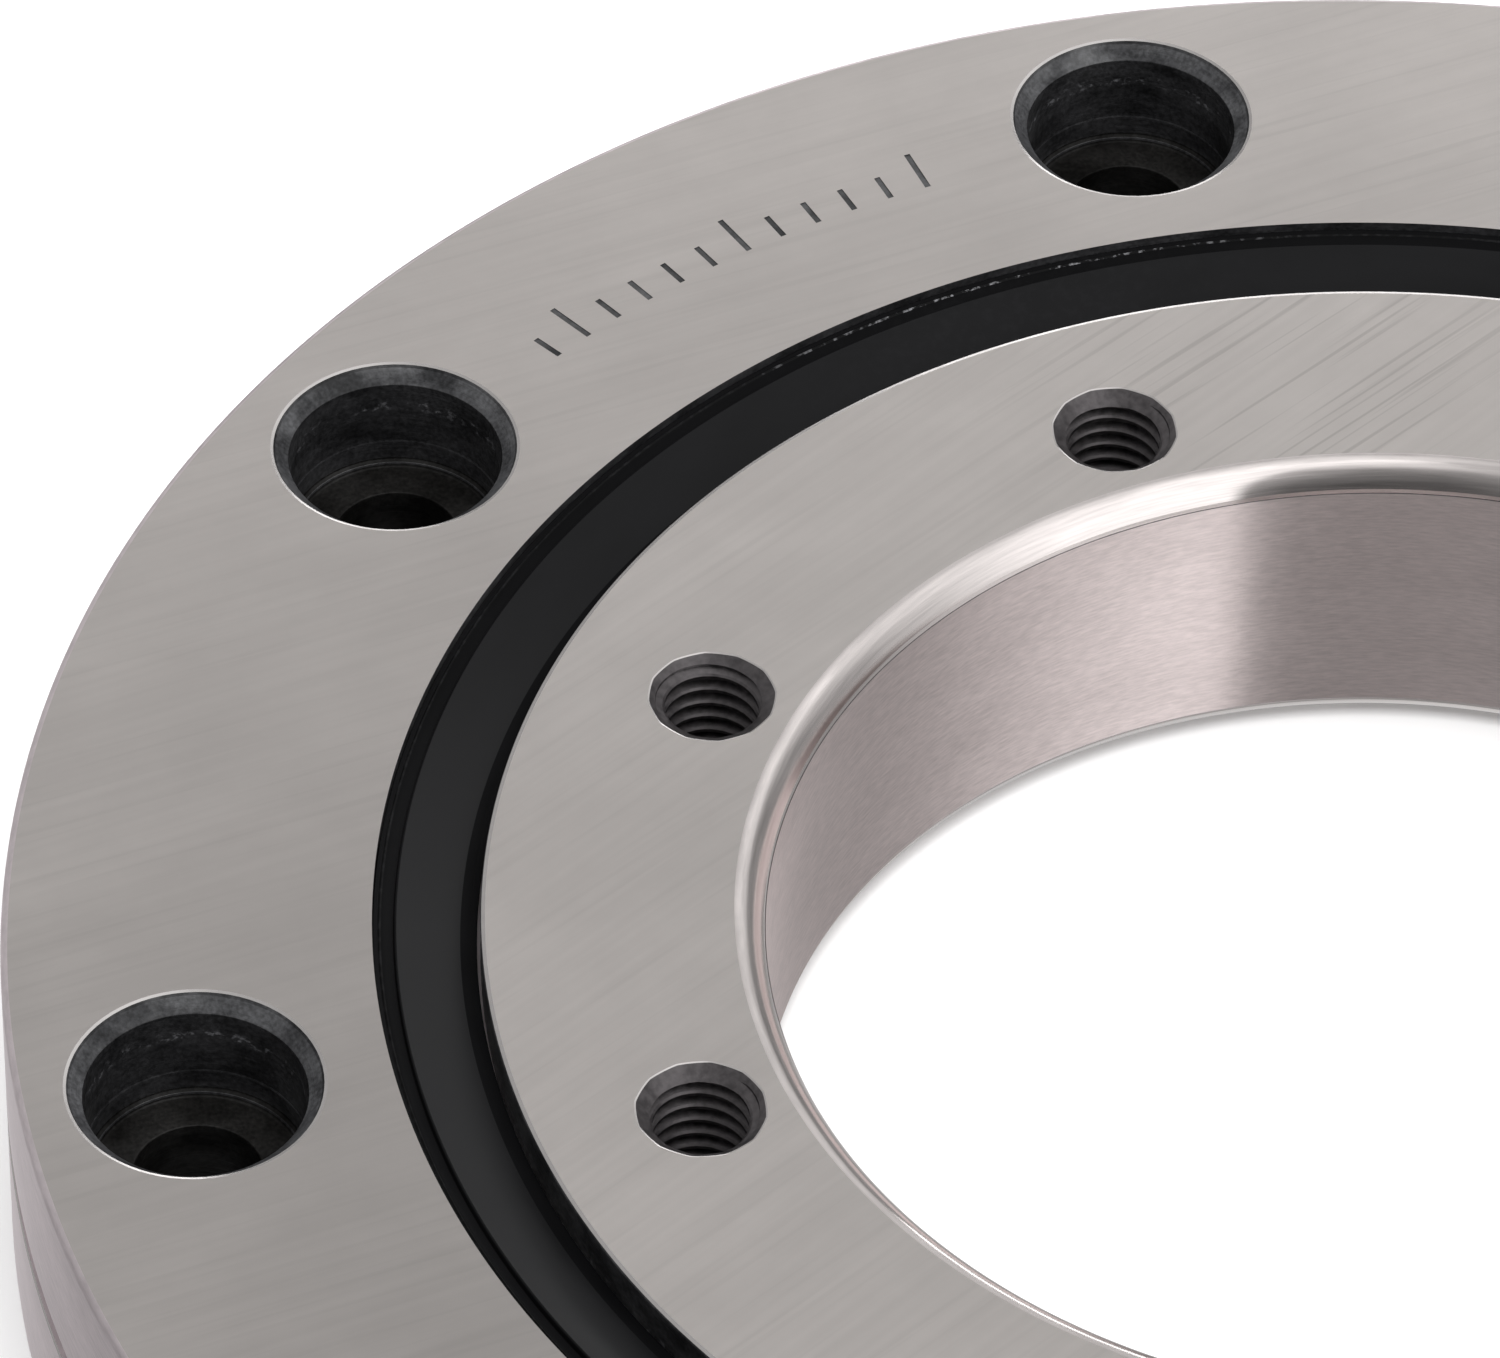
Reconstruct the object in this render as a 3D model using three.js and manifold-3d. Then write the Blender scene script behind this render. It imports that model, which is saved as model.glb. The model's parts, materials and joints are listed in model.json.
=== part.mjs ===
// Slewing ring bearing: two steel rings with mounting holes and one row of crossed rollers.
// Millimetres, +Z up. The origin is the centre of the lower face, on the axis of rotation.

import * as THREE from 'three';
import { mergeVertices } from 'three/addons/utils/BufferGeometryUtils.js';
import Module from 'manifold-3d';

const wasm = await Module();
wasm.setup();

// ---------- driving dimensions ----------

const OUTER_DIAMETER = 120;
const BORE_DIAMETER = 55;
const WIDTH = 15;
const PITCH_DIAMETER = 85; // circle through the roller centres

const ROLLER_DIAMETER = 7.5;
const ROLLER_LENGTH = 7;
const ROLLER_CHAMFER = 0.4;
const ROLLER_COUNT = 26;
const RACEWAY_CLEARANCE = 0.25; // roller side to raceway wall

const HOLE_COUNT = 8; // in each ring
const OUTER_HOLE_CIRCLE = 105;
const OUTER_HOLE_DIAMETER = 5.5;
const COUNTERBORE_DIAMETER = 9.5;
const COUNTERBORE_DEPTH = 5.4;
const COUNTERBORE_CHAMFER = 0.7;
const INNER_HOLE_CIRCLE = 65;
const THREAD_DRILL_DIAMETER = 4.2; // tapping size of an M5 thread
const THREAD_CHAMFER = 0.55;
const EXIT_CHAMFER = 0.3;
const INNER_RING_ANGLE = THREE.MathUtils.degToRad(9.83); // inner holes turned past the outer ones

const RIM_BREAK = 0.5; // edge break on the outer diameter
const BORE_ROUND_RADIAL = 1.35;
const BORE_ROUND_AXIAL = 1.2;
const BORE_ROUND_START = THREE.MathUtils.degToRad(35); // the rounding meets the bore at an edge
const BORE_ROUND_STEPS = 3;
const RIM_GROOVE_WIDTH = 1.2; // oil groove round the outer diameter
const RIM_GROOVE_DEPTH = 0.5;
const OIL_HOLE_DIAMETER = 2;

const SEAL_DEPTH = 0.4; // seal face below the ring faces
const SEAL_THICKNESS = 1.7;
const SEAL_INNER_RADIUS = 40.15;
const SEAL_OUTER_RADIUS = 43.95;
const SEAL_RIM_RADIUS = 44.6; // snaps into the groove of the outer ring
const SEAL_RIM_HEIGHT = 0.8;
const SEAL_LIP_RADIUS = 39.95;
const SEAL_LIP_LOW = 0.2; // the lip's flat edge runs between these heights above the seal's underside
const SEAL_LIP_HIGH = 0.45;
const SEAL_LIP_SLOPE = 0.45; // from the seal's bore to its underside
const FIT_GAP = 0.3; // between pieces that touch on the real bearing

const INNER_FACE_RADIUS = 39.65;
const INNER_FACE_BREAK = 0.3;
const INNER_SHOULDER_RADIUS = 41.6;
const OUTER_SHOULDER_RADIUS = 43.4;
const OUTER_WALL_RADIUS = 44.25; // of the opening that the seal fills
const OUTER_WALL_CHAMFER = 0.1;
const RELIEF_WIDTH = 1; // relief groove at the bottom of each V raceway
const RELIEF_DEPTH = 0.4;

const PLUG_DIAMETER = 8.8;
const PLUG_ANGLE = THREE.MathUtils.degToRad(-22.5); // midway between two mounting holes
const PIN_DIAMETER = 3;
const PIN_TAPER = 1 / 50;
const PIN_CIRCLE_RADIUS = 54;
const PIN_RECESS = 0.2; // both ends below the ring's faces

const SPACER_CLEARANCE = 0.45; // spacer to raceway wall
const SPACER_CORNER = 1.1;
const SPACER_LENGTH = 5.2;

const RING_SEGMENTS = 64;
const HOLE_SEGMENTS = 16;
const OIL_HOLE_SEGMENTS = 10;
const ROLLER_SEGMENTS = 16;
const SADDLE_SEGMENTS = 20;

// ---------- values that follow from them ----------

const TILT = Math.PI / 4; // the rollers lean 45 degrees, alternately out and in
const MIDDLE = WIDTH / 2;
const OUTER_RADIUS = OUTER_DIAMETER / 2;
const BORE_RADIUS = BORE_DIAMETER / 2;
const PITCH_RADIUS = PITCH_DIAMETER / 2;
const WALL_DISTANCE = ROLLER_DIAMETER / 2 + RACEWAY_CLEARANCE; // roller centre to raceway wall
const APEX_DISTANCE = WALL_DISTANCE * Math.SQRT2; // roller centre to the tip of the V
const SEAL_POCKET_HEIGHT = WIDTH - SEAL_DEPTH - SEAL_THICKNESS - FIT_GAP; // floor under the seal
const PLUG_HOLE_DIAMETER = PLUG_DIAMETER + 2 * FIT_GAP;
const STEP_ANGLE = Math.PI / ROLLER_COUNT; // from a roller to the spacer beside it
const BEYOND = 1; // how far a cutter runs past the face that it cuts
const SAME_POINT = 1e-4; // corners closer than this are one corner

// ---------- materials ----------

const steel = (color, roughness) => new THREE.MeshStandardMaterial({ color, roughness, metalness: 1 });
const ringSteel = steel(0xb4b1ad, 0.34);
const rollerSteel = steel(0xd2d4d6, 0.14);
const plugSteel = steel(0xa5a29e, 0.38);
const pinSteel = steel(0x8f9094, 0.3);
const sealRubber = new THREE.MeshStandardMaterial({ color: 0x17181a, roughness: 0.55, metalness: 0 });
const spacerPlastic = new THREE.MeshStandardMaterial({ color: 0xd9d2bd, roughness: 0.5, metalness: 0 });

// ---------- solids ----------

// A closed manifold-3d solid from any closed three.js geometry.
function toSolid(geometry) {
  const bare = geometry.clone();
  bare.deleteAttribute('normal');
  bare.deleteAttribute('uv');
  const merged = mergeVertices(bare, SAME_POINT);
  const corners = merged.index.array;
  const triangles = [];
  for (let i = 0; i < corners.length; i += 3) {
    const triangle = corners.slice(i, i + 3);
    if (new Set(triangle).size === 3) {
      triangles.push(...triangle);
    }
  }
  return new wasm.Manifold(new wasm.Mesh({
    numProp: 3,
    vertProperties: new Float32Array(merged.attributes.position.array),
    triVerts: new Uint32Array(triangles),
  }));
}

function toGeometry(solid) {
  const { vertProperties, triVerts } = solid.getMesh();
  const geometry = new THREE.BufferGeometry();
  geometry.setAttribute('position', new THREE.BufferAttribute(vertProperties, 3));
  geometry.setIndex(new THREE.BufferAttribute(triVerts, 1));
  return geometry;
}

// A solid turned about Z from [radius, height] points listed up the outside and down the inside.
function turned(profile, segments) {
  const points = profile.map(([radius, height]) => new THREE.Vector2(radius, height));
  const reachesAxis = profile[0][0] === 0;
  if (!reachesAxis) {
    points.push(points[0].clone());
  }
  return new THREE.LatheGeometry(points, segments).rotateX(Math.PI / 2);
}

// A row of [radius, height] points and its mirror image in the middle plane, as one run.
function mirrored(upperHalf) {
  const lowerHalf = upperHalf.map(([radius, height]) => [radius, WIDTH - height]).reverse();
  return [...lowerHalf, ...upperHalf];
}

function aroundCircle(count, radius, firstAngle, make) {
  return Array.from({ length: count }, (_, i) => {
    const angle = firstAngle + (2 * Math.PI * i) / count;
    return make().translate(radius * Math.cos(angle), radius * Math.sin(angle), 0);
  });
}

function cut(geometry, cutters) {
  return cutters.reduce((solid, cutter) => solid.subtract(toSolid(cutter)), toSolid(geometry));
}

// A rod along a radius at mid-height, from one radius to another.
function radialRod(diameter, from, to, angle, segments) {
  return new THREE.CylinderGeometry(diameter / 2, diameter / 2, to - from, segments)
    .rotateZ(-Math.PI / 2)
    .translate((from + to) / 2, 0, MIDDLE)
    .rotateZ(angle);
}

// ---------- outer ring, filling plug and pin ----------

// Upper half of the V raceway, from its relief groove to the shoulder.
function racewayHalf(outwards, shoulderRadius) {
  const side = outwards ? 1 : -1;
  const relief = RELIEF_WIDTH / 2;
  const apex = PITCH_RADIUS + side * APEX_DISTANCE;
  const mouth = Math.abs(apex - shoulderRadius);
  return [
    [apex + side * (RELIEF_DEPTH - relief), MIDDLE + relief],
    [apex - side * relief, MIDDLE + relief],
    [shoulderRadius, MIDDLE + mouth],
  ];
}

function outerRingBlank() {
  const groove = RIM_GROOVE_WIDTH / 2;
  const outside = mirrored([
    [OUTER_RADIUS - RIM_GROOVE_DEPTH, MIDDLE + groove],
    [OUTER_RADIUS, MIDDLE + groove],
    [OUTER_RADIUS, WIDTH - RIM_BREAK],
    [OUTER_RADIUS - RIM_BREAK, WIDTH],
  ]);
  const sealGrooveTop = SEAL_POCKET_HEIGHT + SEAL_RIM_HEIGHT + 2 * FIT_GAP;
  const inside = mirrored([
    ...racewayHalf(true, OUTER_SHOULDER_RADIUS),
    [OUTER_SHOULDER_RADIUS, SEAL_POCKET_HEIGHT],
    [SEAL_RIM_RADIUS + FIT_GAP, SEAL_POCKET_HEIGHT],
    [SEAL_RIM_RADIUS + FIT_GAP, sealGrooveTop],
    [OUTER_WALL_RADIUS, sealGrooveTop],
    [OUTER_WALL_RADIUS, WIDTH - OUTER_WALL_CHAMFER],
    [OUTER_WALL_RADIUS + OUTER_WALL_CHAMFER, WIDTH],
  ]).reverse();
  return turned([...outside, ...inside], RING_SEGMENTS);
}

// Stepped drill: exit chamfer below, through hole, counterbore for the screw head, chamfered mouth.
function counterboreCutter() {
  const hole = OUTER_HOLE_DIAMETER / 2;
  const head = COUNTERBORE_DIAMETER / 2;
  const floor = WIDTH - COUNTERBORE_DEPTH;
  return turned([
    [0, -BEYOND],
    [hole + EXIT_CHAMFER + BEYOND, -BEYOND],
    [hole, EXIT_CHAMFER],
    [hole, floor],
    [head, floor],
    [head, WIDTH - COUNTERBORE_CHAMFER],
    [head + COUNTERBORE_CHAMFER + BEYOND, WIDTH + BEYOND],
    [0, WIDTH + BEYOND],
  ], HOLE_SEGMENTS);
}

// The pin is parallel to the bearing's axis and thicker at the lower face.
function taperPin(extraRadius, overrun) {
  const bottom = PIN_RECESS - overrun;
  const top = WIDTH - PIN_RECESS + overrun;
  const large = PIN_DIAMETER / 2 + extraRadius;
  const small = large - ((top - bottom) * PIN_TAPER) / 2;
  return new THREE.CylinderGeometry(small, large, top - bottom, HOLE_SEGMENTS)
    .rotateX(Math.PI / 2)
    .translate(PIN_CIRCLE_RADIUS, 0, (bottom + top) / 2)
    .rotateZ(PLUG_ANGLE);
}

// Both kinds of radial hole run from inside the roller channel out through the rim.
function rimHole(diameter, angle, segments) {
  return radialRod(diameter, PITCH_RADIUS, OUTER_RADIUS + BEYOND, angle, segments);
}

function outerRing() {
  return toGeometry(cut(outerRingBlank(), [
    ...aroundCircle(HOLE_COUNT, OUTER_HOLE_CIRCLE / 2, 0, counterboreCutter),
    rimHole(PLUG_HOLE_DIAMETER, PLUG_ANGLE, HOLE_SEGMENTS),
    taperPin(FIT_GAP, BEYOND),
    rimHole(OIL_HOLE_DIAMETER, PLUG_ANGLE + Math.PI / 2, OIL_HOLE_SEGMENTS),
    rimHole(OIL_HOLE_DIAMETER, PLUG_ANGLE - Math.PI / 2, OIL_HOLE_SEGMENTS),
  ]));
}

// The plug keeps the ring's own section, so the raceway and the rim run on across its ends.
function fillingPlug() {
  const rod = rimHole(PLUG_DIAMETER, PLUG_ANGLE, HOLE_SEGMENTS);
  const core = toSolid(outerRingBlank()).intersect(toSolid(rod));
  return toGeometry(core.subtract(toSolid(taperPin(FIT_GAP, BEYOND))));
}

// ---------- inner ring ----------

function innerRing() {
  const outside = mirrored([
    ...racewayHalf(false, INNER_SHOULDER_RADIUS),
    [INNER_SHOULDER_RADIUS, SEAL_POCKET_HEIGHT],
    [INNER_FACE_RADIUS, SEAL_POCKET_HEIGHT],
    [INNER_FACE_RADIUS, WIDTH - INNER_FACE_BREAK],
    [INNER_FACE_RADIUS - INNER_FACE_BREAK, WIDTH],
  ]);
  const rounding = Array.from({ length: BORE_ROUND_STEPS + 1 }, (_, i) => {
    const turn = THREE.MathUtils.lerp(BORE_ROUND_START, Math.PI / 2, i / BORE_ROUND_STEPS);
    return [
      BORE_RADIUS + BORE_ROUND_RADIAL * (1 - Math.cos(turn) / Math.cos(BORE_ROUND_START)),
      WIDTH - BORE_ROUND_AXIAL * (1 - Math.sin(turn)) / (1 - Math.sin(BORE_ROUND_START)),
    ];
  });
  const inside = mirrored(rounding).reverse();
  const ring = turned([...outside, ...inside], RING_SEGMENTS);

  const drill = THREAD_DRILL_DIAMETER / 2;
  const threadDrill = () => turned([
    [0, -BEYOND],
    [drill + THREAD_CHAMFER + BEYOND, -BEYOND],
    [drill, THREAD_CHAMFER],
    [drill, WIDTH - THREAD_CHAMFER],
    [drill + THREAD_CHAMFER + BEYOND, WIDTH + BEYOND],
    [0, WIDTH + BEYOND],
  ], HOLE_SEGMENTS);
  return toGeometry(cut(ring, aroundCircle(HOLE_COUNT, INNER_HOLE_CIRCLE / 2, 0, threadDrill)));
}

// ---------- seals ----------

// Flat rubber ring: its rim snaps into the outer ring, its lip wipes the inner ring.
function sealUpper() {
  const top = WIDTH - SEAL_DEPTH;
  const bottom = top - SEAL_THICKNESS;
  return turned([
    [SEAL_INNER_RADIUS + SEAL_LIP_SLOPE, bottom],
    [SEAL_RIM_RADIUS, bottom],
    [SEAL_RIM_RADIUS, bottom + SEAL_RIM_HEIGHT],
    [SEAL_OUTER_RADIUS, bottom + SEAL_RIM_HEIGHT],
    [SEAL_OUTER_RADIUS, top],
    [SEAL_INNER_RADIUS, top],
    [SEAL_INNER_RADIUS, bottom + SEAL_RIM_HEIGHT],
    [SEAL_LIP_RADIUS, bottom + SEAL_LIP_HIGH],
    [SEAL_LIP_RADIUS, bottom + SEAL_LIP_LOW],
  ], RING_SEGMENTS);
}

function sealLower() {
  return sealUpper().translate(0, 0, -WIDTH).rotateX(Math.PI);
}

// ---------- rollers and spacers ----------

// Centred on the origin, with its axis along Z.
function roller() {
  const radius = ROLLER_DIAMETER / 2;
  const half = ROLLER_LENGTH / 2;
  return turned([
    [0, -half],
    [radius - ROLLER_CHAMFER, -half],
    [radius, ROLLER_CHAMFER - half],
    [radius, half - ROLLER_CHAMFER],
    [radius - ROLLER_CHAMFER, half],
    [0, half],
  ], ROLLER_SEGMENTS);
}

// The space of the roller beside a spacer at angle 0: side is +1 or -1, lean +1 outwards, -1 inwards.
function saddleCutter(side, lean) {
  const radius = ROLLER_DIAMETER / 2 + FIT_GAP;
  return new THREE.CylinderGeometry(radius, radius, 2 * ROLLER_LENGTH, SADDLE_SEGMENTS)
    .rotateX(Math.PI / 2)
    .rotateY(lean * TILT)
    .translate(PITCH_RADIUS, 0, MIDDLE)
    .rotateZ(side * STEP_ANGLE);
}

// A block that fills the square channel, hollowed on both sides by its two crossed rollers.
function spacer(leanAhead) {
  const half = WALL_DISTANCE - SPACER_CLEARANCE;
  const corner = half - SPACER_CORNER;
  const outline = new THREE.Shape([
    [half, -corner], [half, corner], [corner, half], [-corner, half],
    [-half, corner], [-half, -corner], [-corner, -half], [corner, -half],
  ].map(([x, y]) => new THREE.Vector2(x, y)));
  const block = new THREE.ExtrudeGeometry(outline, { depth: SPACER_LENGTH, bevelEnabled: false })
    .translate(0, 0, -SPACER_LENGTH / 2)
    .rotateX(Math.PI / 2)
    .rotateY(TILT)
    .translate(PITCH_RADIUS, 0, MIDDLE);
  return toGeometry(cut(block, [saddleCutter(1, leanAhead), saddleCutter(-1, -leanAhead)]));
}

// ---------- assembly ----------

function part(name, geometry, material) {
  const mesh = new THREE.Mesh(geometry, material);
  mesh.name = name;
  return mesh;
}

const bearing = new THREE.Group();
bearing.add(
  part('outer_ring', outerRing(), ringSteel),
  part('filling_plug', fillingPlug(), plugSteel),
  part('plug_taper_pin', taperPin(0, 0), pinSteel),
  part('seal_upper', sealUpper(), sealRubber),
  part('seal_lower', sealLower(), sealRubber),
);

const innerRingPart = part('inner_ring', innerRing(), ringSteel);
innerRingPart.rotation.z = INNER_RING_ANGLE;
bearing.add(innerRingPart);

const rollerShape = roller();
const spacerShapes = [spacer(-1), spacer(1)]; // by the lean of the roller ahead
for (let i = 0; i < ROLLER_COUNT; i += 1) {
  const number = String(i + 1).padStart(2, '0');
  const lean = i % 2 === 0 ? 1 : -1;

  const rollerPart = part(`roller_${number}`, rollerShape, rollerSteel);
  rollerPart.position.set(PITCH_RADIUS, 0, MIDDLE);
  rollerPart.rotation.y = lean * TILT;
  const rollerPlace = new THREE.Group();
  rollerPlace.rotation.z = 2 * i * STEP_ANGLE;
  rollerPlace.add(rollerPart);

  const spacerPart = part(`spacer_${number}`, spacerShapes[i % 2], spacerPlastic);
  const spacerPlace = new THREE.Group();
  spacerPlace.rotation.z = (2 * i + 1) * STEP_ANGLE;
  spacerPlace.add(spacerPart);

  bearing.add(rollerPlace, spacerPlace);
}

export default bearing;
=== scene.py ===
import json
import math

import bmesh
import bpy
from mathutils import Matrix, Vector


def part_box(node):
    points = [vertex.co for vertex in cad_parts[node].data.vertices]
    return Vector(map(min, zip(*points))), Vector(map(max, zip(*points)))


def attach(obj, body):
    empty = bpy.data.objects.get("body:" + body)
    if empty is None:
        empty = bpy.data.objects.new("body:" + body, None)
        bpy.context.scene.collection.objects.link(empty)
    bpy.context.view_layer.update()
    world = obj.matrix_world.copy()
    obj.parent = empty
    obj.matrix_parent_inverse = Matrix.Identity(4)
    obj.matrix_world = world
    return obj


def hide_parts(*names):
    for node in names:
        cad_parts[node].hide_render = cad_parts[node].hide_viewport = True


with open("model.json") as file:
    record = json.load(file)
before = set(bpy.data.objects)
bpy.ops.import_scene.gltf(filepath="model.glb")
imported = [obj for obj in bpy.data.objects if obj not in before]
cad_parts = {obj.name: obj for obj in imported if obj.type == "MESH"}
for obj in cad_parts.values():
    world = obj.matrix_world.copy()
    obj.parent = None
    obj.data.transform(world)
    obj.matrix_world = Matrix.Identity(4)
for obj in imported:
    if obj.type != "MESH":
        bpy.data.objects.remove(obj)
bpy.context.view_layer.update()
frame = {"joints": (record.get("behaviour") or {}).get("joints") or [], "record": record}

# Slewing ring bearing: ground steel rings with crossed rollers between them, in metres, +Z up.

MM = 0.001


# ---------- sizes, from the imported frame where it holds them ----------

RIM_RADIUS, _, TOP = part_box("outer_ring")[1]
MIDDLE = TOP / 2
SEAL_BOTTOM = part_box("seal_upper")[0].z
SEAL_RIM_RADIUS, _, SEAL_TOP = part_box("seal_upper")[1]
JOINTS = {joint["name"]: joint for joint in frame["joints"]}
OPENINGS = {opening["name"]: opening for opening in frame["record"]["physics"]["openings"]}
ROLLER_COUNT = sum(name.startswith("roller_") and name.endswith("_spin") for name in JOINTS)
PITCH_RADIUS = Vector(JOINTS["roller_01_spin"]["pos_m"]).xy.length
STEP_ANGLE = math.pi / ROLLER_COUNT  # from a roller to the spacer beside it

OVERRUN = 1 * MM  # how far a cutting tool reaches beyond the solid that it cuts

GROOVE_DEPTH = 0.5 * MM  # of the groove round the rim
GROOVE_HALF_WIDTH = 0.6 * MM
OIL_HOLE_RADIUS = 1 * MM
RACE_RELIEF = 0.5 * MM  # half-width of the relief groove at the bottom of the V raceway
OUTER_SHOULDER_RADIUS = 43.4 * MM  # where the raceways end, beside the seals
INNER_SHOULDER_RADIUS = 41.6 * MM
SEAL_WALL_RADIUS = 44.25 * MM  # of the opening that the seal fills
SEAL_POCKET = 0.3 * MM  # room below the seal
SEAL_RIM_HEIGHT = 0.8 * MM
SEAL_GROOVE_HEIGHT = 1.1 * MM  # of the groove that holds the rim, from the seal's bottom
SEAL_GROOVE_GAP = 0.12 * MM  # between the rim and the groove's wall

HOLE_COUNT = 8  # in each ring
OUTER_HOLE_RADIUS = 2.75 * MM
COUNTERBORE_RADIUS = 4.75 * MM
COUNTERBORE_DEPTH = 5.4 * MM
COUNTERBORE_CHAMFER = 0.68 * MM
TOOL_STEP_HEIGHT = 1.3 * MM  # of the slightly tighter zone that the tool leaves above the floor

INNER_FACE_RADIUS = 39.65 * MM  # outer edge of the inner ring's faces
BORE_RADIUS = 27.5 * MM
BORE_ROUND_START = math.radians(35)  # slope at which the rounding leaves the bore
BORE_ROUND_WIDTH = 1.35 * MM
BORE_ROUND_HEIGHT = 1.2 * MM
BORE_ROUND_STEPS = 12
INNER_HOLE_CIRCLE = 32.5 * MM
INNER_RING_ANGLE = math.radians(9.83)  # of its first hole at rest
THREAD_MAJOR_RADIUS = 2.5 * MM
THREAD_PITCH = 0.8 * MM
THREAD_DEPTH = 0.433 * MM
THREAD_ROOT_SHARE = 0.0625  # of the pitch, from the middle of the root to the start of the flank
THREAD_FLANK_SHARE = 0.3125
THREAD_MOUTH_RADIUS = 2.73 * MM
THREAD_MOUTH_DEPTH = 0.55 * MM
THREAD_TURN = 2.4  # radians from one hole's thread to the next one's, so that no two look alike

PLUG_ANGLE = math.radians(-22.5)
PLUG_RADIUS = 4.4 * MM
PIN_CIRCLE = 54 * MM
PIN_RADIUS = 1.5 * MM
HAIRLINE = 0.04 * MM  # joint line round the plug and the pin

MARK_CIRCLE = 51.8 * MM  # etched index lines on the upper face
MARK_ANGLE = math.radians(101.6)
MARK_STEP = math.radians(2.1)
MARK_COUNT = 12
MARK_HALF_WIDTH = 0.14 * MM
MARK_DEPTH = 0.04 * MM
MARK_INNER_REACH = 1.2 * MM  # from the circle inwards; all marks start there
MARK_LENGTH, LONG_MARK_LENGTH = 1.5 * MM, 2.4 * MM

ROLLER_RADIUS = 3.75 * MM
ROLLER_LENGTH = 7 * MM
WALL_DISTANCE = 4.0 * MM  # from the pitch circle to each wall of the V raceways
TILT = math.pi / 4
SPACER_LENGTH = 5.2 * MM
SADDLE_GAP = 0.2 * MM

RING_SEGMENTS = 384
HOLE_SEGMENTS = 72
ROLLER_SEGMENTS = 48
SADDLE_SEGMENTS = 64
THREAD_SEGMENTS, THREAD_ROWS = 40, 10  # round the axis, and across one pitch
ARC_STEP = math.radians(10)  # largest turn between two points of a rounded corner


# ---------- meshes ----------

def new_object(name, vertices, faces, finishes, materials):
    """A mesh object in the row frame. finishes holds a material index for each face."""
    mesh = bpy.data.meshes.new(name)
    mesh.from_pydata(vertices, [], faces)
    for material in materials:
        mesh.materials.append(material)
    mesh.polygons.foreach_set("material_index", finishes)
    mesh.update()
    piece = bpy.data.objects.new(name, mesh)
    bpy.context.scene.collection.objects.link(piece)
    return piece


def rounded(corners):
    """Points (radius, height, finish) of a closed outline. A corner is (radius, height, finish of the
    side that leaves it, rounding, finish of the rounding), the last two left out on a sharp corner."""
    points = []
    for i, corner in enumerate(corners):
        here = Vector(corner[:2])
        finish = corner[2]
        if len(corner) == 3:
            points.append((here.x, here.y, finish))
            continue
        rounding, round_finish = corner[3:]
        before = (Vector(corners[i - 1][:2]) - here).normalized()
        after = (Vector(corners[(i + 1) % len(corners)][:2]) - here).normalized()
        half = before.angle(after) / 2
        centre = here + (before + after).normalized() * (rounding / math.sin(half))
        start = here + before * (rounding / math.tan(half)) - centre
        end = here + after * (rounding / math.tan(half)) - centre
        sweep = math.atan2(start.x * end.y - start.y * end.x, start.dot(end))
        steps = max(2, math.ceil(abs(sweep) / ARC_STEP))
        for k in range(steps + 1):
            turn = Matrix.Rotation(sweep * k / steps, 2)
            point = centre + turn @ start
            points.append((point.x, point.y, finish if k == steps else round_finish))
    return points


def lathe(name, points, segments, materials, wobble=None):
    """A closed solid turned about Z. A point with radius 0 stays a single vertex on the axis. The wobble, a
    function of angle and height, scales the radius."""
    vertices, rows = [], []
    for radius, height, _ in points:
        if radius <= 0:
            rows.append([len(vertices)] * segments)
            vertices.append((0, 0, height))
            continue
        rows.append(range(len(vertices), len(vertices) + segments))
        for k in range(segments):
            angle = 2 * math.pi * k / segments
            reach = radius * (wobble(angle, height) if wobble else 1)
            vertices.append((reach * math.cos(angle), reach * math.sin(angle), height))
    faces, finishes = [], []
    for i, row in enumerate(rows):
        above = rows[(i + 1) % len(rows)]
        for k in range(segments):
            n = (k + 1) % segments
            corners = list(dict.fromkeys((row[k], row[n], above[n], above[k])))
            if len(corners) > 2:
                faces.append(corners)
                finishes.append(points[i][2])
    return new_object(name, vertices, faces, finishes, materials)


def placed(piece, matrix):
    """The same piece, its vertices moved by the matrix."""
    piece.data.transform(matrix)
    return piece


def copied(piece, matrix):
    """A new object with its own mesh, moved by the matrix."""
    copy = bpy.data.objects.new(piece.name, piece.data.copy())
    bpy.context.scene.collection.objects.link(copy)
    return placed(copy, matrix)


def joined(pieces):
    """One object that holds the meshes of all the pieces, which have the same list of materials."""
    whole = bmesh.new()
    for piece in pieces:
        whole.from_mesh(piece.data)
    keeper = pieces[0]
    whole.to_mesh(keeper.data)
    whole.free()
    for piece in pieces[1:]:
        bpy.data.objects.remove(piece)
    return keeper


def boolean(body, tool, operation):
    """body cut by, or kept inside, tool. The tool's faces keep their material index."""
    modifier = body.modifiers.new("boolean", "BOOLEAN")
    modifier.object = tool
    modifier.operation = operation
    modifier.solver = "MANIFOLD"
    bpy.context.view_layer.update()
    evaluated = body.evaluated_get(bpy.context.evaluated_depsgraph_get())
    mesh = bpy.data.meshes.new_from_object(evaluated)
    body.modifiers.clear()
    body.data = mesh
    bpy.data.objects.remove(tool)
    return body


def finished(piece, body, nodes, sharp=11):
    """Shades the piece smoothly between edges sharper than the given angle in degrees, with large faces kept
    flat. The piece then rides its body in place of the CAD nodes."""
    piece.data.polygons.foreach_set("use_smooth", [True] * len(piece.data.polygons))
    piece.data.set_sharp_from_angle(angle=math.radians(sharp))
    weighted = piece.modifiers.new("weighted", "WEIGHTED_NORMAL")
    weighted.keep_sharp = True
    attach(piece, body)
    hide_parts(*nodes)
    return piece


def mirrored(upper_half):
    """The upper half of an outline and its mirror image below the middle plane, as one run."""
    lower_half = []
    for i, corner in enumerate(upper_half):
        finish_before = upper_half[i - 1][2] if i else corner[2]
        lower_half.append((corner[0], TOP - corner[1], finish_before, *corner[3:]))
    return lower_half[::-1] + upper_half


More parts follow.
